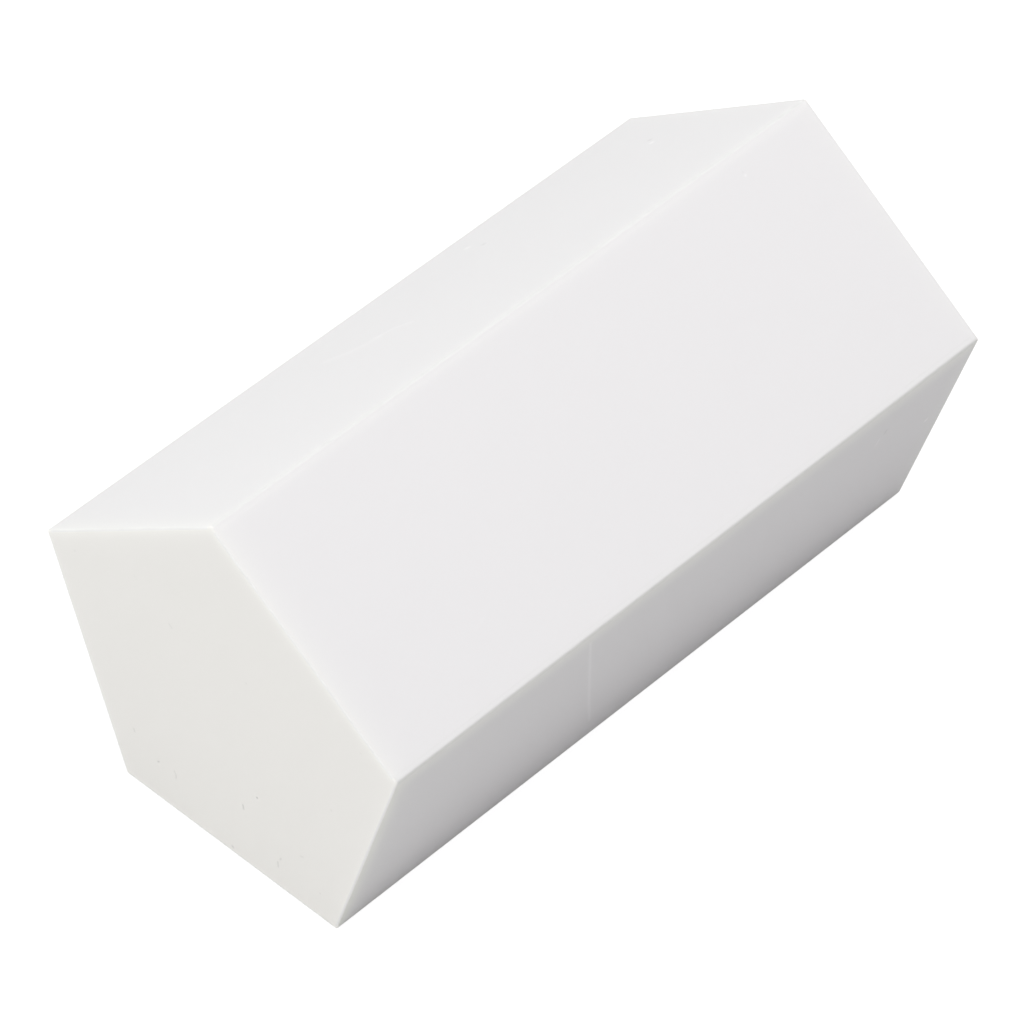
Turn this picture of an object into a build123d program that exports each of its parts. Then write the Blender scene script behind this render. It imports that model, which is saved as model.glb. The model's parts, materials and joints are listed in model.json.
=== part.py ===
from build123d import *
import os
from math import cos, pi, radians, sin, tan

# A nail buffer block with five working faces, in millimetres.
#
# A closed-cell foam core is a long regular pentagonal stick, sawn to length. Each long face carries
# an abrasive strip on its own adhesive film. The strips are pressed into shallow beds in the foam, so
# they end flush with the narrow bands of bare foam along the long edges. The strips and films are
# sawn through with the core, so their cut ends show at both ends of the block.
#
# The block lies along X and rests on one long face. The origin is the centre of that face, +Z is up.

# Driving dimensions
face_count = 5
face_width = 25.0  # one long face, between its sharp corners
block_length = 69.5
arris_radius = 0.35  # rounding of the long foam edges
arris_band = 0.6  # bare foam between a strip and the sharp corner
end_edge_radius = 0.2  # easing where the long faces meet the sawn ends
strip_thickness = 0.25
adhesive_thickness = 0.1

# Where each long face looks, as the angle of its outward normal from +Y towards +Z
face_angles = {
    "base": 270,
    "lower_front": 198,
    "upper_front": 126,
    "upper_rear": 54,
    "lower_rear": 342,
}

# Derived dimensions
half_turn_per_face = pi / face_count
axis_height = face_width / (2 * tan(half_turn_per_face))  # from a long face to the block's axis
corner_distance = face_width / (2 * sin(half_turn_per_face))
strip_width = face_width - 2 * arris_band
bed_depth = strip_thickness + adhesive_thickness


def plane_below_face(angle, depth):
    """The plane this deep below a long face, with its normal pointing out of the block."""
    across, up = cos(radians(angle)), sin(radians(angle))
    reach = axis_height - depth
    centre = (0, reach * across, axis_height + reach * up)
    return Plane(origin=centre, x_dir=(1, 0, 0), z_dir=(0, across, up))


def layer_under_face(outline, angle, depth, thickness):
    """What the block's outline holds between two depths below a face, as wide as a strip."""
    with BuildPart() as layer:
        add(outline)
        with BuildSketch(plane_below_face(angle, depth)):
            Rectangle(block_length, strip_width)
        extrude(amount=-thickness, mode=Mode.INTERSECT)
    return layer.part


def write_piece(piece, name):
    """Labels a finished piece and writes it to its own file."""
    piece.label = name
    export_step(piece, f"parts/{name}.step")


os.makedirs("parts", exist_ok=True)

# The outline that all the pieces share once they are bonded, sawn to length and eased
with BuildPart() as block_outline:
    with BuildSketch(Plane.YZ.offset(-block_length / 2)) as section:
        with Locations((0, axis_height)):
            RegularPolygon(corner_distance, face_count, rotation=90)
        fillet(section.vertices(), arris_radius)
    extrude(amount=block_length)
    sawn_ends = block_outline.faces().filter_by(Axis.X)
    fillet(sawn_ends.edges(), end_edge_radius)

# The foam core: the outline with a bed for a strip and its film sunk into each long face
with BuildPart() as foam_core:
    add(block_outline.part)
    for angle in face_angles.values():
        with BuildSketch(plane_below_face(angle, 0)):
            Rectangle(block_length, strip_width)
        extrude(amount=-bed_depth, mode=Mode.SUBTRACT)

write_piece(foam_core.part, "foam_core")

# The strip on each face, and the adhesive film that fills the rest of its bed
for face, angle in face_angles.items():
    strip = layer_under_face(block_outline.part, angle, 0, strip_thickness)
    write_piece(strip, f"{face}_abrasive_strip")
    film = layer_under_face(block_outline.part, angle, strip_thickness, adhesive_thickness)
    write_piece(film, f"{face}_adhesive_film")
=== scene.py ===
import json
from collections import namedtuple
from math import ceil, cos, exp, hypot, pi, radians, sin, tan

import bmesh
import bpy
from mathutils import Matrix, Vector, noise
from mathutils.geometry import delaunay_2d_cdt


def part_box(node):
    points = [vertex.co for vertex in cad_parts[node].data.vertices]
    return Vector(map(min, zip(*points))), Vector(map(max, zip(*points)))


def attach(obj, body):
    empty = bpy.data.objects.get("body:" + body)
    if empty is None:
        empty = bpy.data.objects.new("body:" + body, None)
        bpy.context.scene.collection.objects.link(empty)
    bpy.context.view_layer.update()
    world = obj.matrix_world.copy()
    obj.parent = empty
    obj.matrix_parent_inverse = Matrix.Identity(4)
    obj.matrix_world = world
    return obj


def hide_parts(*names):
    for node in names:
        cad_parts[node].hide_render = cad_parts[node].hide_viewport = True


# A nail buffer block. A pentagonal stick of white closed-cell foam has an abrasive strip let into each
# long face. The foam shows as a narrow rounded band along every long edge, and as the sawn ends.

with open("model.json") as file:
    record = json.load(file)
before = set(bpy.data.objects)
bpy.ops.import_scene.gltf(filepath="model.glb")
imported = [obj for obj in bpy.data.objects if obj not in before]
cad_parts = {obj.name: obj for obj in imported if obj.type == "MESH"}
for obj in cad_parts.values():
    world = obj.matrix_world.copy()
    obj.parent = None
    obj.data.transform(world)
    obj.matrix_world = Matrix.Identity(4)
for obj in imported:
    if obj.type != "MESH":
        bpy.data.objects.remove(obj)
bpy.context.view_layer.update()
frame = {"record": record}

MM = 0.001
noise.seed_set(1)  # or noise_vector differs from run to run

# Sizes and places that the frame gives
FACES = ("base", "lower_front", "upper_front", "upper_rear", "lower_rear")
FACE_TURN = 2 * pi / len(FACES)
mounts = {mount["name"]: mount for mount in frame["record"]["mounts"]}
core_low, core_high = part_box("foam_core")
strip_low, strip_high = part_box("base_abrasive_strip")
film_low, film_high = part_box("base_adhesive_film")
length = core_high.x - core_low.x
axis_height = mounts["near_end_face"]["pos_m"][2]
corner_distance = axis_height / cos(FACE_TURN / 2)
strip_width = strip_high.y - strip_low.y
strip_thickness = strip_high.z - strip_low.z
bed_depth = film_high.z - strip_low.z
film_thickness = film_high.z - film_low.z
sharp_top = axis_height + corner_distance
arris_radius = (sharp_top - core_high.z) / (1 / cos(FACE_TURN / 2) - 1)

# Edges
end_easing = 0.2 * MM  # rounding where the long faces meet the sawn ends
strip_edge_easing = 0.008 * MM  # the strips' long edges, which leave the finest hairline
film_easing = 0.008 * MM
edge_give = 0.058 * MM  # how far the whole block's edges are pressed in by handling
edge_reach = 0.43 * MM  # how far from an edge that fades
give_limit = 5 * edge_reach  # further than this from an edge nothing gives
skin_depth = 0.1 * MM  # how far below a face that fades
cut_depth = 0.3 * MM  # how far from a sawn end the foam still looks sawn

# The faces that the studio lights reach best. The light painted near the edges depends on them, so it
# suits only this lighting
LIT_FACES = ("near_end_face", "upper_front_face", "upper_rear_face")

# How far the light painted near an edge spreads over each kind of surface beside it. It stands in
# for light that leaks through the edge
glow_over_end = 0.65 * MM
glow_along_face = 1.1 * MM  # from a sawn end
glow_across_face = 0.4 * MM  # from a long edge
glow_in_shade = 0.9 * MM  # over a shaded face, from a lit one

# How strongly that painted light shows there, compared with an edge between two lit faces
glow_beside_dim_face = 0.55
shade_glow = 3.5
most_end_glow = 1.0  # on a sawn end
most_face_glow = 2.3  # on a long face

# The crests of the edges are painted slightly darker, as shade that tones down their highlight. Their
# width, and by what share
crest_width = 0.2 * MM
foam_crest_shade = 0.152
strip_crest_shade = 0.032

# The lighter colours that the painted edge light leads to, where foam or film is sawn, on the foam's
# skin and on the strips
sawn_glow = (0.960, 0.941, 0.915, 1)
skin_glow = (0.921, 0.910, 0.905, 1)
strip_glow = (0.925, 0.912, 0.904, 1)

# The finish that the foam and the strips share
matt = 0.8  # roughness
matt_spread = 0.05  # how much that varies either way
matt_specular = 0.35
speckle_tone = 0.006  # how much lighter or darker the speckle is

foam_cell = 0.16  # the size of the foam's cells, in millimetres

# The unevenness of each surface, as the size and height of its waves
cut_swell = (6 * MM, 0.006 * MM)
cut_ripple = (0.9 * MM, 0.0008 * MM)
arris_swell = (4 * MM, 0.006 * MM)
arris_ripple = (0.7 * MM, 0.002 * MM)
strip_swell = (16 * MM, 0.012 * MM)
strip_ripple = (2.4 * MM, 0.0012 * MM)
swell_margin = 1.0 * MM  # a strip's swell fades over this near its edges

# Mesh spacing
arc_steps = 8  # round the large edges
few_arc_steps = 3  # round the smallest
band_steps = 4  # across the flat part of the foam band beside a strip
core_step = 0.35 * MM
strip_step = 0.3 * MM
film_step = 1.2 * MM
cap_step = 0.35 * MM
edge_zone = 1.2 * MM  # next to an edge the mesh is finer
finer = 3  # how many times finer
bed_steps = 6  # across the bottom of a strip's bed
mark_steps = 9  # across a mark on a sawn end
mark_cuts = 4  # through each of a strip's faces near its marks
mark_margin = 0.25 * MM  # how near that is
grid_nudge = 0.12  # how far a sawn end's points lie off an even grid, as a share of its spacing
sharp_angle = radians(35)  # an edge that turns by more than this looks sharp

# A mark is a scratch, crease, spot or pit. Its path, width and rise are in millimetres, and a round
# mark has a path of one point. Rise is how far its middle stands out, and tone is how much lighter it
# is, so both may be negative. The marks on the hidden faces and the far end are invented, and so are
# the last two on the upper front face.
Mark = namedtuple("Mark", "path width rise tone")

# Along and across, from the middle of the strip's face
STRIP_MARKS = {
    "lower_front": [
        Mark([(-12.3, 11.0), (-9.4, 1.8), (-7.8, -3.3), (-5.9, -8.9)], 0.55, 0.010, 0.065),
        Mark([(24.35, 5.5), (24.45, 6.5)], 0.4, 0.012, 0.07),
        Mark([(25.0, 7.3), (25.0, 6.8)], 0.5, -0.014, -0.08),
        Mark([(32.2, 2.0)], 0.8, 0.014, 0.13),
    ],
    "upper_rear": [
        Mark([(-7.9, 5.5), (-6.5, 3.8), (-5.3, 3.0), (-4.1, 2.65)], 1.3, 0.012, 0.020),
        Mark([(-4.1, 2.65), (-2.85, 2.2), (-1.8, 0.6)], 0.8, 0.016, 0.025),
        Mark([(11.8, 6.8)], 0.8, -0.020, -0.08),
        Mark([(11.3, 8.6)], 0.9, 0.016, 0.07),
        Mark([(29.5, 3.5)], 0.8, -0.014, -0.08),
        Mark([(28.9, 2.5)], 0.8, 0.018, 0.10),
    ],
    "upper_front": [
        Mark([(25.25, 10.2)], 0.4, 0.012, 0.08),
        Mark([(25.2, 10.55)], 0.4, -0.006, -0.03),
        Mark([(-21.0, -6.5), (-19.6, -6.1)], 0.4, 0.003, 0.008),
        Mark([(7.5, -9.0)], 0.5, -0.004, -0.012),
    ],
    "lower_rear": [
        Mark([(14.0, -5.0), (17.0, -3.2), (19.5, -2.5)], 0.8, 0.010, 0.015),
        Mark([(-20.5, 7.0)], 0.6, -0.010, -0.05),
        Mark([(-6.0, 2.5)], 0.5, 0.010, 0.05),
    ],
    "base": [
        Mark([(-20.0, 4.0), (-16.0, 5.6), (-12.0, 6.5)], 0.6, -0.008, -0.02),
        Mark([(9.0, -8.0)], 0.6, -0.010, -0.05),
        Mark([(24.0, 1.5), (25.2, 0.9)], 0.5, 0.008, 0.03),
    ],
}

# Y and Z, on a sawn end
NEAR_END_MARKS = [
    Mark([(-3.7, 9.45)], 1.1, 0.006, 0.03),
    Mark([(-3.7, 9.45)], 0.34, -0.050, -0.42),
    Mark([(-1.93, 7.2), (-1.98, 6.75)], 0.30, -0.020, -0.20),
    Mark([(-1.65, 7.3), (-1.7, 6.7)], 0.24, 0.008, 0.03),
    Mark([(8.2, 4.75), (8.35, 4.6)], 0.26, -0.020, -0.20),
    Mark([(8.15, 4.4)], 0.30, 0.008, 0.05),
    Mark([(6.35, 5.0), (6.15, 4.6), (6.2, 4.2)], 0.26, -0.012, -0.12),
    Mark([(-5.8, 3.2), (-5.82, 2.6)], 0.28, -0.014, -0.14),
    Mark([(-6.22, 3.95), (-6.1, 3.7)], 0.28, -0.012, -0.12),
    Mark([(11.1, 6.6), (11.0, 6.3)], 0.28, -0.012, -0.12),
    Mark([(-8.9, 6.25), (-8.6, 6.1)], 0.30, -0.008, -0.07),
    Mark([(-12.5, 14.75)], 0.36, -0.008, -0.08),
    Mark([(5.7, 23.2), (5.4, 22.95)], 0.28, -0.008, -0.08),
    Mark([(16.75, 23.8)], 0.30, -0.008, -0.07),
    Mark([(-10.75, 3.2)], 0.34, -0.008, -0.08),
    Mark([(-11.1, 4.0)], 0.28, -0.004, -0.04),
    Mark([(-3.2, 22.8)], 0.34, -0.006, -0.06),
    Mark([(-16.2, 24.4)], 0.34, -0.005, -0.05),
    Mark([(9.5, 26.0)], 0.34, -0.005, -0.04),
    Mark([(-0.35, 0.75)], 0.50, -0.030, -0.20),
]
FAR_END_MARKS = [
    Mark([(5.2, 12.4)], 0.34, -0.030, -0.25),
    Mark([(-7.5, 20.3)], 0.30, -0.008, -0.08),
    Mark([(10.1, 8.0), (9.7, 7.2)], 0.28, -0.014, -0.14),
    Mark([(-3.0, 5.5)], 0.30, -0.010, -0.10),
    Mark([(-11.4, 10.2), (-11.1, 9.8)], 0.28, -0.010, -0.09),
    Mark([(2.6, 25.5)], 0.34, -0.006, -0.05),
    Mark([(-15.2, 22.1)], 0.30, -0.006, -0.06),
    Mark([(0.9, 3.1), (0.7, 2.6)], 0.28, -0.012, -0.12),
]


# Marks


def distance_to_path(point, path):
    """How far a flat point is from a path, in the path's unit."""
    if len(path) == 1:
        return (point - Vector(path[0])).length
    nearest = []
    for start, end in zip(map(Vector, path), map(Vector, path[1:])):
        run = end - start
        share = max(0.0, min(1.0, (point - start).dot(run) / run.length_squared))
        nearest.append((point - start - share * run).length)
    return min(nearest)


def mark_strength(mark, point):
    """1 on a mark's path, falling smoothly to 0 at its edge."""
    share = distance_to_path(point, mark.path) / (mark.width / 2)
    return max(0.0, 1 - share * share) ** 2


def marks_at(marks, point):
    """The rise in metres and the tone of all the marks at a flat point given in metres."""
    here = point / MM
    rise = tone = 0.0
    for mark in marks:
        strength = mark_strength(mark, here)
        rise += strength * mark.rise * MM
        tone += strength * mark.tone
    return rise, tone


def near_marks(marks, point, margin):
    """True if a flat point given in metres lies within a margin of any mark."""
    here = point / MM
    return any(distance_to_path(here, m.path) < m.width / 2 + margin / MM for m in marks)


# Surfaces


def wave(point, size, height):
    """A smooth random height, at most about the one given, in waves of about this size."""
    return height * noise.noise(point / size)


def even_stops(start, end, step):
    """Evenly spaced values from start to end, no further apart than step."""
    count = ceil((end - start) / step)
    return [start + (end - start) * i / count for i in range(count + 1)]


def eased_stops(half, radius, step):
    """(place, drop) pairs across a flat surface from -half to half whose two ends are rounded off."""
    steps = arc_steps if radius >= end_easing else few_arc_steps
    turns = [radians(90) * i / steps for i in range(steps, 0, -1)]
    start = [(-half + radius * (1 - sin(turn)), radius * (1 - cos(turn))) for turn in turns]
    flat_start = -half + radius
    flat = even_stops(flat_start, flat_start + edge_zone, step / finer)[:-1]
    middle = even_stops(flat_start + edge_zone, -flat_start - edge_zone, step)
    places = flat + middle + [-place for place in reversed(flat)]
    end = [(-place, drop) for place, drop in reversed(start)]
    return start + [(place, 0.0) for place in places] + end


def flat_fill(outline, inner):
    """Triangles over a flat outline and its inner points. Returns all the points, the triangles, and
    the number each point had among those given."""
    edges = [(i, (i + 1) % len(outline)) for i in range(len(outline))]
    inside_outline = 1
    closest = 1e-9
    points, _, faces, origins, _, _ = delaunay_2d_cdt(
        outline + inner, edges, [], inside_outline, closest
    )
    return points, faces, [origin[0] if origin else None for origin in origins]


def fill_loop(bm, loop, corners, inner, to_space):
    """Closes a loop of vertices, whose flat points are corners, with triangles. The inner points are
    flat too, and to_space gives each its place."""
    points, faces, origins = flat_fill(corners, inner)
    made = {}
    for i, point in enumerate(points):
        on_loop = origins[i] is not None and origins[i] < len(loop)
        made[i] = loop[origins[i]] if on_loop else bm.verts.new(to_space(point))
    for face in faces:
        bm.faces.new([made[i] for i in face])


# The seven flat faces of the block, each as its outward direction and its distance from the origin
outer_planes = [
    (Vector(mount["axis"]), Vector(mount["axis"]).dot(Vector(mount["pos_m"])))
    for mount in mounts.values()
]


def face_depths(point):
    """How deep a point lies below each flat face of the block."""
    return [max(0.0, reach - axis.dot(point)) for axis, reach in outer_planes]


def leak(face, beside, depth):
    """How much painted light from the face beside it goes into a face's colour, at a depth below that
    other face.
    """
    on_end = face.endswith("_end_face")
    from_end = beside.endswith("_end_face")
    if beside in LIT_FACES and face not in LIT_FACES and not on_end:
        return shade_glow * exp(-depth / glow_in_shade)
    if on_end:
        spread = glow_over_end
    elif from_end:
        spread = glow_along_face
    else:
        spread = glow_across_face
    dimmed = (on_end or from_end) and face in LIT_FACES and beside not in LIT_FACES
    return (glow_beside_dim_face if dimmed else 1.0) * exp(-depth / spread)


def glow_at(point):
    """How much painted light, standing in for light that leaks through the edges, goes into the colour
    at a point. It is 1 at a plain edge.
    """
    depths = dict(zip(mounts, face_depths(point)))
    face = min(depths, key=depths.get)
    leaks = [leak(face, beside, depth) for beside, depth in depths.items() if beside != face]
    return min(hypot(*leaks), most_end_glow if face.endswith("_end_face") else most_face_glow)


def write_value(bm, name, value_at):
    """Stores a value for each vertex, for the materials."""
    layer = bm.verts.layers.float.new(name)
    for vertex in bm.verts:
        vertex[layer] = value_at(vertex.co)


def soften_edges(bm):
    """Presses the block's edges in a little, the same way for every piece. Stores how far from them each
    vertex was and how much painted edge light it gets, for the materials."""
    layer = bm.verts.layers.float.new("edge_distance")
    painted_glow_layer = bm.verts.layers.float.new("painted_edge_glow")
    for vertex in bm.verts:
        depths = face_depths(vertex.co)
        nearest, edge_distance = sorted(depths)[:2]
        vertex[layer] = edge_distance
        # Painted light near the edges, stronger on a shaded face beside a lit one
        vertex[painted_glow_layer] = glow_at(vertex.co)
        if edge_distance > give_limit:
            continue
        shift = Vector()
        for (axis, _), depth in zip(outer_planes, depths):
            other = edge_distance if depth == nearest else nearest
            share = exp(-depth / skin_depth - other / edge_reach)
            shift -= axis * edge_give * share
        vertex.co += shift


def finish_piece(bm, name, material, replaced):
    """Turns a finished mesh into a piece that rides on the block, and hides the CAD part that it
    replaces.
    """
    mesh = bpy.data.meshes.new(name)
    soften_edges(bm)
    bmesh.ops.recalc_face_normals(bm, faces=bm.faces)
    bm.to_mesh(mesh)
    bm.free()
    mesh.shade_smooth()
    mesh.set_sharp_from_angle(angle=sharp_angle)
    mesh.materials.append(material)
    piece = bpy.data.objects.new(name, mesh)
    bpy.context.scene.collection.objects.link(piece)
    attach(piece, "root")
    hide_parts(replaced)
    return piece


# The foam core


def core_section(x, inset):
    """The core's outline at x, anticlockwise seen from +X, with its skin drawn in by inset."""
    points = []
    for corner in range(len(FACES)):
        heading = radians(90) + corner * FACE_TURN
        before, after = heading - FACE_TURN / 2, heading + FACE_TURN / 2
        points += band_side(before, 1, inset)
        points += arris_arc(heading, inset, x)
        points += reversed(band_side(after, -1, inset))
        for step in range(1, bed_steps):
            points.append(on_face(after, bed_depth, strip_width * (step / bed_steps - 0.5)))
    return points


def on_face(normal_angle, depth, across):
    """The section point at a depth below a face, and across it from its middle."""
    reach = axis_height - depth
    y = reach * cos(normal_angle) - across * sin(normal_angle)
    z = reach * sin(normal_angle) + across * cos(normal_angle)
    return Vector((y, axis_height + z))


def band_side(normal_angle, side, inset):
    """The wall of a strip's bed from the bottom up, then the flat foam band up to the rounded edge."""
    start = strip_width / 2
    end = axis_height * tan(FACE_TURN / 2) - arris_radius * tan(FACE_TURN / 2)
    points = [on_face(normal_angle, bed_depth, side * start)]
    for i in range(band_steps):
        points.append(on_face(normal_angle, inset, side * (start + (end - start) * i / band_steps)))
    return points


def arris_arc(heading, inset, x):
    """The rounded long edge of the foam, with the slight waviness of a cut edge."""
    centre_distance = corner_distance - arris_radius / cos(FACE_TURN / 2)
    centre = Vector((centre_distance * cos(heading), axis_height + centre_distance * sin(heading)))
    arc = []
    for i in range(arc_steps + 1):
        turn = heading + FACE_TURN * (i / arc_steps - 0.5)
        apart = 40 * heading * MM  # so that no two edges are alike
        ripple = wave(Vector((x, apart, 0)), *arris_swell)
        ripple += wave(Vector((x, apart, 0.05 * i * MM)), *arris_ripple)
        radius = arris_radius - inset + ripple * sin(pi * i / arc_steps)
        arc.append(centre + radius * Vector((cos(turn), sin(turn))))
    return arc


def hexagonal_points(low, high, step, wanted):
    """The points of a hexagonal grid in a box, nudged a little off it, that pass a test."""
    points = []
    row_step = step * sin(radians(60))
    for row in range(ceil((high.y - low.y) / row_step)):
        for column in range(ceil((high.x - low.x) / step)):
            point = low + Vector(((column + 0.5 * (row % 2)) * step, row * row_step))
            nudge = noise.noise_vector(point.to_3d() / step).xy * grid_nudge * step
            if wanted(point + nudge):
                points.append(point + nudge)
    return points


def inside_section(point, margin):
    """True if a section point is inside the bottoms of all the beds by a margin."""
    offset = point - Vector((0, axis_height))
    for i in range(len(FACES)):
        angle = radians(90) + (i + 0.5) * FACE_TURN
        if offset.dot(Vector((cos(angle), sin(angle)))) > axis_height - bed_depth - margin:
            return False
    return True


def cap_points(marks):
    """The inner points of a sawn end: an even grid, and a finer one round each mark."""
    low = Vector((core_low.y, core_low.z))
    high = Vector((core_high.y, core_high.z))
    margin = cap_step / 3

    def in_middle(point):
        return inside_section(point, edge_zone) and not near_marks(marks, point, 0)

    def near_edge(point):
        on_rim = inside_section(point, margin) and not inside_section(point, edge_zone)
        return on_rim and not near_marks(marks, point, 0)

    points = hexagonal_points(low, high, cap_step, in_middle)
    points += hexagonal_points(low, high, cap_step / 2, near_edge)
    for mark in marks:
        reach = Vector((mark.width, mark.width)) * 0.5 * MM
        lowest = Vector(min(p[i] for p in mark.path) for i in range(2)) * MM - reach
        highest = Vector(max(p[i] for p in mark.path) for i in range(2)) * MM + reach
        points += hexagonal_points(
            lowest, highest, mark.width * MM / mark_steps,
            lambda p: inside_section(p, margin) and near_marks([mark], p, 0),
        )
    return points


def split_long_edges(bm, ring, step):
    """Adds vertices to a ring's long edges, and returns the whole ring in order."""
    full_ring = []
    for vertex, following in zip(ring, ring[1:] + ring[:1]):
        full_ring.append(vertex)
        edge = bm.edges.get((vertex, following))
        pieces = ceil(edge.calc_length() / step)
        for left in range(pieces, 1, -1):
            _, vertex = bmesh.utils.edge_split(edge, vertex, 1 / left)
            full_ring.append(vertex)
            edge = bm.edges.get((vertex, following))
    return full_ring


def add_cap(bm, end_ring, x, outward, marks):
    """Closes one end of the core with a sawn face."""
    ring = split_long_edges(bm, end_ring, cap_step)
    corners = [Vector((v.co.y, v.co.z)) for v in ring]

    def to_space(point):
        place = Vector((x, point.x, point.y))
        rise = wave(place, *cut_swell) + wave(place, *cut_ripple)
        return (x + outward * (rise + marks_at(marks, point)[0]), point.x, point.y)

    fill_loop(bm, ring, corners, cap_points(marks), to_space)


def make_core(material):
    """The foam core, with its beds, rounded long edges and sawn ends."""
    bm = bmesh.new()
    half = length / 2
    rings = []
    for x, inset in eased_stops(half, end_easing, core_step):
        rings.append([bm.verts.new((x, point.x, point.y)) for point in core_section(x, inset)])
    for ring, following in zip(rings, rings[1:]):
        for i in range(len(ring)):
            beside = (i + 1) % len(ring)
            bm.faces.new((ring[i], ring[beside], following[beside], following[i]))
    add_cap(bm, rings[0], -half, -1, NEAR_END_MARKS)
    add_cap(bm, rings[-1], half, 1, FAR_END_MARKS)
    write_value(bm, "tone", end_tone)
    write_value(bm, "sawn", sawn_share)
    return finish_piece(bm, "sawn_foam_core", material, "foam_core")


def sawn_share(co):
    """1 at the sawn ends, fading to 0 a little way in."""
    return max(0.0, min(1.0, 1 - (length / 2 - abs(co.x)) / cut_depth))


def end_tone(co):
    """The tone of the marks on whichever sawn end a point is on."""
    if abs(abs(co.x) - length / 2) > cut_depth:
        return 0.0
    marks = NEAR_END_MARKS if co.x < 0 else FAR_END_MARKS
    return marks_at(marks, co.yz)[1]


# The abrasive strips


def face_matrix(face):
    """From along, across and height above a face's middle to the row frame."""
    mount = mounts["resting_face" if face == "base" else f"{face}_face"]
    outward = Vector(mount["axis"]).normalized()
    along = Vector((1, 0, 0))
    matrix = Matrix((along, outward.cross(along), outward)).transposed().to_4x4()
    matrix.translation = Vector(mount["pos_m"])
    return matrix


def eased_sheet(bm, end_radius, side_radius, step):
    """A sheet's top with its four eased edges, as wide as a strip, and the vertices round it."""
    rows = []
    for along, end_drop in eased_stops(length / 2, end_radius, step):
        row = []
        for across, side_drop in eased_stops(strip_width / 2, side_radius, step):
            row.append(bm.verts.new((along, across, -end_drop - side_drop)))
        rows.append(row)
    for row, following in zip(rows, rows[1:]):
        for i in range(len(row) - 1):
            bm.faces.new((row[i], following[i], following[i + 1], row[i + 1]))
    far_side = [row[-1] for row in rows[1:]]
    near_side = [row[0] for row in rows[-2:0:-1]]
    return rows[0] + far_side + rows[-1][-2::-1] + near_side


def close_below(bm, loop, thickness):
    """A sheet's four cut sides and its flat back."""
    low_loop = [bm.verts.new((v.co.x, v.co.y, -thickness)) for v in loop]
    for i in range(len(loop)):
        beside = (i + 1) % len(loop)
        bm.faces.new((loop[i], loop[beside], low_loop[beside], low_loop[i]))
    corners = [v.co.xy for v in low_loop]
    fill_loop(bm, low_loop, corners, [], lambda p: (p.x, p.y, -thickness))


def refine_near_marks(bm, marks):
    """Splits the faces of the strip's top near its marks, so that the marks are real shapes."""
    top_normal = 0.9
    near = [
        face for face in bm.faces
        if face.normal.z > top_normal
        and near_marks(marks, face.calc_center_median().xy, mark_margin)
    ]
    edges = {edge for face in near for edge in face.edges}
    bmesh.ops.subdivide_edges(bm, edges=list(edges), cuts=mark_cuts, use_grid_fill=True)


def shape_strip_top(bm, marks, seed):
    """Gives the top its slight waviness and its marks."""
    lowest_top = -0.9 * end_easing  # anything lower is on the strip's sides or back
    for vertex in bm.verts:
        if vertex.co.z > lowest_top and abs(vertex.co.x) < length / 2 - end_easing:
            place = vertex.co + Vector((0, 0, seed))
            swell = wave(place, *strip_swell) + wave(place, *strip_ripple)
            edge_share = min(1.0, (strip_width / 2 - abs(vertex.co.y)) / swell_margin)
            end_share = min(1.0, (length / 2 - abs(vertex.co.x)) / swell_margin)
            vertex.co.z += swell * edge_share * end_share + marks_at(marks, vertex.co.xy)[0]


def make_strip(face, number, material):
    """One abrasive strip, pressed flush into the foam. The number keeps the strips from being alike."""
    marks = STRIP_MARKS[face]
    bm = bmesh.new()
    loop = eased_sheet(bm, end_easing, strip_edge_easing, strip_step)
    close_below(bm, loop, strip_thickness)
    bmesh.ops.recalc_face_normals(bm, faces=bm.faces)
    refine_near_marks(bm, marks)
    write_value(bm, "tone", lambda co: marks_at(marks, co.xy)[1])
    shape_strip_top(bm, marks, (number + 1) * 100 * MM)
    bm.transform(face_matrix(face))
    name = f"{face}_strip"
    return finish_piece(bm, name, material, f"{face}_abrasive_strip")


def make_film(face, material):
    """The adhesive film under a strip, of which only the cut ends show."""
    bm = bmesh.new()
    loop = eased_sheet(bm, film_easing, film_easing, film_step)
    close_below(bm, loop, film_thickness)
    bm.transform(Matrix.Translation((0, 0, -strip_thickness)))
    bm.transform(face_matrix(face))
    return finish_piece(bm, f"{face}_film", material, f"{face}_adhesive_film")


# Materials


def new_material(name):
    """A material with one Principled shader, and that shader."""
    material = bpy.data.materials.new(name)
    material.use_nodes = True
    return material, material.node_tree.nodes["Principled BSDF"]


def add_node(tree, kind, settings=None, **inputs):
    """Adds a node with its settings and inputs. An input goes by its name, or by i and its number."""
    node = tree.nodes.new(kind)
    for name, value in (settings or {}).items():
        setattr(node, name, value)
    for name, value in inputs.items():
        numbered = name[0] == "i" and name[1:].isdigit()
        socket = node.inputs[int(name[1:]) if numbered else name]
        if isinstance(value, bpy.types.NodeSocket):
            tree.links.new(value, socket)
        else:
            socket.default_value = value
    return node


def maths(tree, operation, first, second=0.0):
    """The result of a Math node."""
    return add_node(tree, "ShaderNodeMath", {"operation": operation}, i0=first, i1=second).outputs[0]


def attribute(tree, name):
    """A value stored on the mesh."""
    node = add_node(tree, "ShaderNodeAttribute", {"attribute_name": name})
    return node.outputs["Fac"]


def place_in_mm(tree):
    """The point on the block, in millimetres."""
    point = tree.nodes.new("ShaderNodeTexCoord").outputs["Object"]
    scaled = add_node(tree, "ShaderNodeVectorMath", {"operation": "SCALE"}, i0=point, i3=1 / MM)
    return scaled.outputs[0]


def grain(tree, size, detail=2.0, roughness=0.5):
    """Noise from 0 to 1 with features of about this size in millimetres."""
    node = add_node(
        tree, "ShaderNodeTexNoise", None,
        Vector=place_in_mm(tree), Scale=1 / size, Detail=detail, Roughness=roughness,
    )
    return node.outputs[0]


def around_zero(tree, value, amount):
    """Turns noise from 0 to 1 into -amount to amount."""
    return maths(tree, "MULTIPLY", maths(tree, "SUBTRACT", value, 0.5), 2 * amount)


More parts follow.
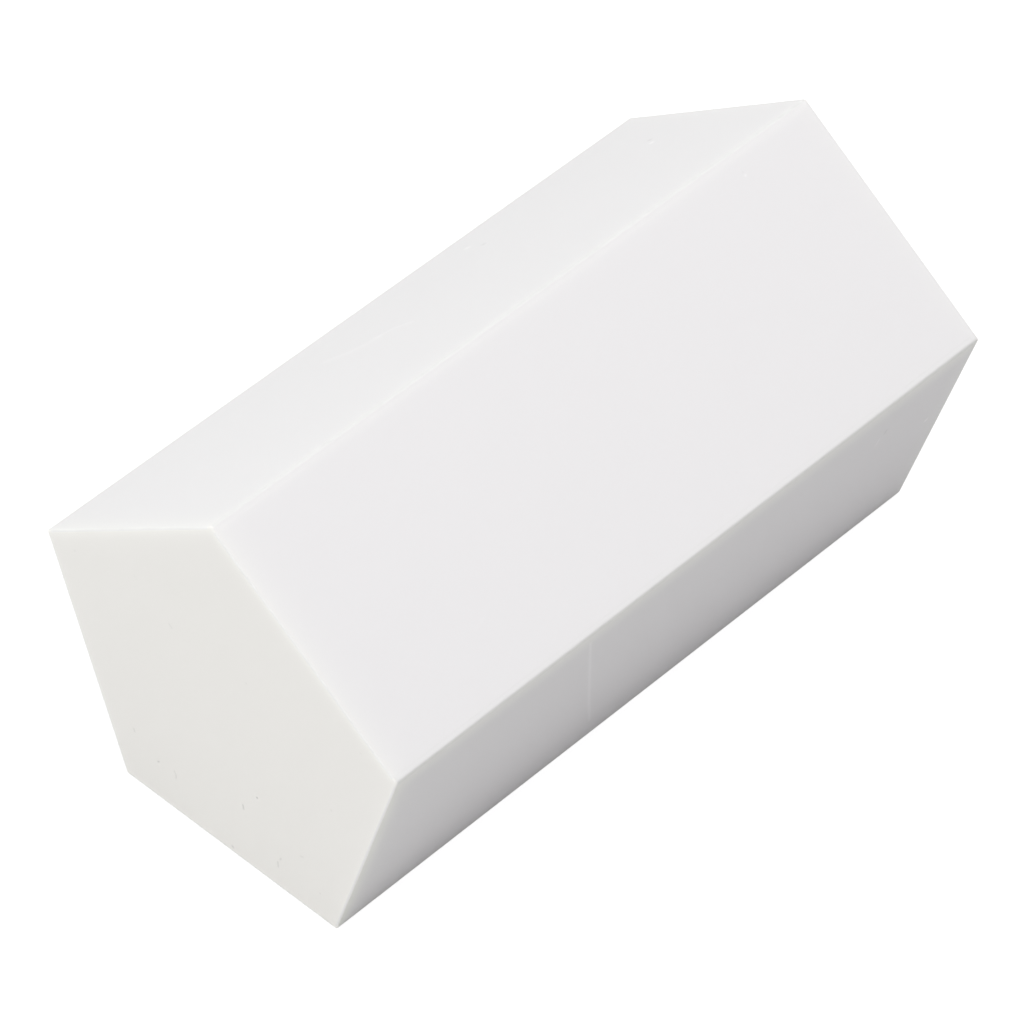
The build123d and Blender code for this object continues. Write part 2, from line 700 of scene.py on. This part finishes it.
def edge_crest(tree):
    """The mask for the painted shade on the crests: 1 along the very crest of the block's edges, falling
    off smoothly within the crest's width.
    """
    share = maths(tree, "MULTIPLY", attribute(tree, "edge_distance"), -1 / crest_width)
    return maths(tree, "EXPONENT", maths(tree, "MULTIPLY", share, maths(tree, "ABSOLUTE", share)))


def mixed_colour(tree, share, first, second, clamped=True):
    """A blend from the first colour to the second, and past it if the share isn't clamped to 1."""
    settings = {"data_type": "RGBA", "clamp_factor": clamped}
    node = add_node(tree, "ShaderNodeMix", settings, i0=share, i6=first, i7=second)
    return node.outputs[2]


def toned(tree, colour, gain):
    """A colour made lighter by a gain around 0."""
    factor = maths(tree, "ADD", gain, 1.0)
    node = add_node(tree, "ShaderNodeVectorMath", {"operation": "SCALE"}, i0=colour, i3=factor)
    return node.outputs[0]


def painted_edge_light(tree, plain, glow):
    """A colour with painted light near the edges: it goes towards a lighter one there, and past it where
    the glow is over 1.
    """
    return mixed_colour(tree, attribute(tree, "painted_edge_glow"), plain, glow, clamped=False)


def marked(tree, colour, speckle_size):
    """A colour with a fine speckle and the tones of the marks."""
    speckle = around_zero(tree, grain(tree, speckle_size), speckle_tone)
    return toned(tree, colour, maths(tree, "ADD", speckle, attribute(tree, "tone")))


def make_matt(tree, shader, size):
    """Gives a shader its matt finish, which is uneven over about this size in millimetres."""
    rough = maths(tree, "ADD", around_zero(tree, grain(tree, size), matt_spread), matt)
    tree.links.new(rough, shader.inputs["Roughness"])
    shader.inputs["Specular IOR Level"].default_value = matt_specular


def bumped(tree, height, depth):
    """A normal for a height from 0 to 1 over a depth in metres."""
    node = add_node(tree, "ShaderNodeBump", None, Strength=1.0, Distance=depth, Height=height)
    return node.outputs[0]


def foam_material():
    """White closed-cell foam: a neutral skin, warmer where it is sawn, with painted light near the edges
    and painted shade on the crests of its edges, except where sawn.
    """
    material, shader = new_material("white_foam")
    tree = material.node_tree
    sawn = attribute(tree, "sawn")
    skin = mixed_colour(tree, grain(tree, 9.0), (0.868, 0.852, 0.862, 1), (0.876, 0.860, 0.870, 1))
    warm = mixed_colour(tree, grain(tree, 7.0), (0.857, 0.836, 0.813, 1), (0.867, 0.844, 0.823, 1))
    plain = mixed_colour(tree, sawn, skin, warm)
    # Painted light near the edges, which stands in for light leaking through them
    lit = painted_edge_light(tree, plain, mixed_colour(tree, sawn, skin_glow, sawn_glow))
    # Painted shade on the crests of the edges, toning down their highlight, except where sawn
    crest = maths(tree, "MULTIPLY", edge_crest(tree), maths(tree, "SUBTRACT", 1.0, sawn))
    crest_shaded = toned(tree, lit, maths(tree, "MULTIPLY", crest, -foam_crest_shade))
    tree.links.new(marked(tree, crest_shaded, 0.25), shader.inputs["Base Color"])
    cells = add_node(tree, "ShaderNodeTexVoronoi", None, Vector=place_in_mm(tree), Scale=1 / foam_cell)
    height = maths(tree, "ADD", cells.outputs["Distance"], grain(tree, 0.5))
    tree.links.new(bumped(tree, height, 0.0008 * MM), shader.inputs["Normal"])
    make_matt(tree, shader, 1.5)
    return material


def strip_material():
    """A white fine-grit strip: an even coat of grit, faint mottling, painted light near the edges and
    painted shade on their crests.
    """
    material, shader = new_material("white_fine_grit")
    tree = material.node_tree
    white = mixed_colour(tree, grain(tree, 9.0), (0.8695, 0.852, 0.864, 1), (0.8775, 0.860, 0.872, 1))
    # Painted light near the edges, which stands in for light leaking through them
    lit = painted_edge_light(tree, white, strip_glow)
    # Painted shade on the crests of the edges, toning down their highlight
    crest_shaded = toned(tree, lit, maths(tree, "MULTIPLY", edge_crest(tree), -strip_crest_shade))
    tree.links.new(marked(tree, crest_shaded, 0.18), shader.inputs["Base Color"])
    tree.links.new(bumped(tree, grain(tree, 0.1, 3.0), 0.0010 * MM), shader.inputs["Normal"])
    make_matt(tree, shader, 2.0)
    return material


def film_material():
    """The cut edge of the adhesive film: off-white, a little glossy, with painted light near the edges.
    """
    material, shader = new_material("clear_adhesive")
    tree = material.node_tree
    plain = mixed_colour(tree, grain(tree, 1.2), (0.85, 0.84, 0.80, 1), (0.89, 0.885, 0.86, 1))
    # Painted light near the cut edges, which stands in for light leaking through them
    tree.links.new(painted_edge_light(tree, plain, sawn_glow), shader.inputs["Base Color"])
    rough = maths(tree, "ADD", around_zero(tree, grain(tree, 0.4), 0.1), 0.35)
    tree.links.new(rough, shader.inputs["Roughness"])
    tree.links.new(bumped(tree, grain(tree, 0.2), 0.004 * MM), shader.inputs["Normal"])
    return material


# The studio

light_distance = 0.6  # metres from the middle of the block
light_size = 0.5
surround = 0.2  # how bright the world is, for everything but the camera
floor_radius = 3.0  # metres
floor_gap = 0.03 * MM  # below the block
floor_white = (0.7, 0.7, 0.7, 1)  # as the block sees it
faint_white = (0.3, 0.3, 0.3, 1)  # as the camera sees it, the part that takes a shadow
floor_lift = 0.88  # and the part that doesn't


def floor_material():
    """A pale floor that shows white to the camera, with the block's shadow kept faint. From below it is
    clear."""
    material = bpy.data.materials.new("pale_floor")
    material.use_nodes = True
    tree = material.node_tree
    tree.nodes.clear()
    plain = add_node(tree, "ShaderNodeBsdfDiffuse", None, Color=floor_white).outputs[0]
    emission = add_node(tree, "ShaderNodeEmission", None, Color=(1, 1, 1, 1), Strength=floor_lift)
    softened = add_node(tree, "ShaderNodeBsdfDiffuse", None, Color=faint_white).outputs[0]
    pale = add_node(tree, "ShaderNodeAddShader", None, i0=emission.outputs[0], i1=softened).outputs[0]
    clear = add_node(tree, "ShaderNodeBsdfTransparent", None).outputs[0]
    path = tree.nodes.new("ShaderNodeLightPath").outputs["Is Camera Ray"]
    below = tree.nodes.new("ShaderNodeNewGeometry").outputs["Backfacing"]
    seen = add_node(tree, "ShaderNodeMixShader", None, i0=path, i1=plain, i2=pale).outputs[0]
    shown = add_node(tree, "ShaderNodeMixShader", None, i0=below, i1=seen, i2=clear).outputs[0]
    add_node(tree, "ShaderNodeOutputMaterial", None, Surface=shown)
    return material


def make_floor():
    """A large round floor just under the block."""
    bm = bmesh.new()
    bmesh.ops.create_circle(bm, cap_ends=True, segments=96, radius=floor_radius)
    mesh = bpy.data.meshes.new("floor")
    bm.to_mesh(mesh)
    bm.free()
    mesh.materials.append(floor_material())
    floor = bpy.data.objects.new("floor", mesh)
    floor.location.z = -floor_gap
    bpy.context.scene.collection.objects.link(floor)


def make_world(strength):
    """An even white surround, which the camera sees as plain white."""
    world = bpy.data.worlds.new("studio")
    world.use_nodes = True
    tree = world.node_tree
    path = tree.nodes.new("ShaderNodeLightPath").outputs["Is Camera Ray"]
    level = maths(tree, "MAXIMUM", path, strength)
    background = tree.nodes["Background"]
    background.inputs["Color"].default_value = (1, 1, 1, 1)
    tree.links.new(level, background.inputs["Strength"])
    bpy.context.scene.world = world


def make_light(name, azimuth, elevation, power, colour=(1, 1, 1)):
    """A soft square light that looks at the middle of the block."""
    data = bpy.data.lights.new(name, "AREA")
    data.size = light_size
    data.energy = power
    data.color = colour
    light = bpy.data.objects.new(name, data)
    bpy.context.scene.collection.objects.link(light)
    back = heading_back(azimuth, elevation)
    light.location = Vector((0, 0, axis_height)) + back * light_distance
    light.rotation_mode = "QUATERNION"
    light.rotation_quaternion = (-back).to_track_quat("-Z", "Y")


def heading_back(azimuth, elevation):
    """The direction from the block towards a viewer. Azimuth 0 is seen from the front, along +Y."""
    turn, rise = radians(azimuth), radians(elevation)
    return Vector((sin(turn) * cos(rise), -cos(turn) * cos(rise), sin(rise)))


def make_camera():
    """The camera: a long lens, seen from the front left and from above."""
    azimuth, elevation, roll = -45.47, 45.62, -0.64
    distance, shift_right, shift_up = 508.4 * MM, -0.692 * MM, -1.953 * MM
    back = heading_back(azimuth, elevation)
    level_right = Vector((cos(radians(azimuth)), sin(radians(azimuth)), 0))
    level_up = back.cross(level_right)
    tilt = radians(roll)
    right = cos(tilt) * level_right + sin(tilt) * level_up
    up = -sin(tilt) * level_right + cos(tilt) * level_up
    data = bpy.data.cameras.new("camera")
    data.sensor_width = 36.0
    data.lens = 213.7
    data.clip_start, data.clip_end = 0.02, 20.0
    camera = bpy.data.objects.new("camera", data)
    matrix = Matrix((right, up, back)).transposed().to_4x4()
    middle = Vector((0, 0, axis_height))
    matrix.translation = middle + back * distance + right * shift_right + up * shift_up
    camera.matrix_world = matrix
    bpy.context.scene.collection.objects.link(camera)
    bpy.context.scene.camera = camera


make_core(foam_material())
strip_white = strip_material()
clear_adhesive = film_material()
for number, face in enumerate(FACES):
    make_strip(face, number, strip_white)
    make_film(face, clear_adhesive)

make_floor()
make_world(surround)
make_light("overhead", 0, 88, 1.96)
make_light("end_fill", -90, 25, 1.56)
make_light("right_fill", 90, 35, 1.28)
make_light("front_right", 40, 15, 0.35)
make_light("rear_left", -135, 45, 0.73, (0.92, 1.0, 0.925))
make_camera()
bpy.context.scene.view_settings.view_transform = "Standard"
